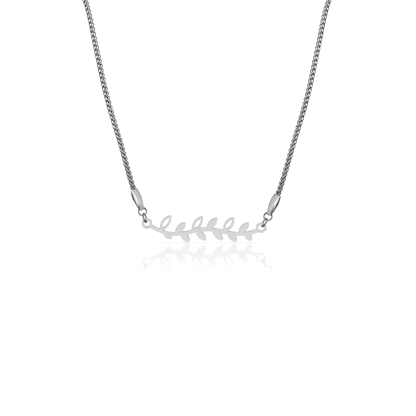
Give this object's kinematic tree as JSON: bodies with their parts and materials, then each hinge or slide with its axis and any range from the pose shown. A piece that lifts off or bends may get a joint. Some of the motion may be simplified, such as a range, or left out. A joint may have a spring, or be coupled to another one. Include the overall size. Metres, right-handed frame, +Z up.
{
  "type": "nameplate necklace",
  "caption": "Fine link chain on tapered end caps and rings that carries a flat cut-out leafy branch plate between two eyelets, closed by a small barrel clasp at the nape.",
  "frame": {"origin": "the point at the nape where the clasp's barrel touches the back of the neck", "axes": "+X to the right as the front is looked at, +Y from the nameplate towards the nape and out behind it, +Z up as the necklace hangs"},
  "size_m": [0.1006, 0.1149, 0.1081],
  "materials": {
    "satin_silver": "satin",
    "polished_silver": "polished",
    "chain_silver": "polished with dark recesses"
  },
  "bodies": {
    "strand": {"chain_left": "chain_silver", "chain_right": "chain_silver", "cap_left": "polished_silver", "cap_right": "polished_silver", "ring_cap_left": "polished_silver", "ring_cap_right": "polished_silver", "clasp": "polished_silver"},
    "plate": {"nameplate": "satin_silver", "ring_plate_left": "polished_silver", "ring_plate_right": "polished_silver"}
  },
  "joints": [
    {"name": "plate_swing", "type": "hinge", "parent": "strand", "child": "plate", "pos_m": [-0.00067, -0.11, -0.09854], "axis": [0.9992, 0, -0.04], "range_deg": [-60, 60]}
  ]
}
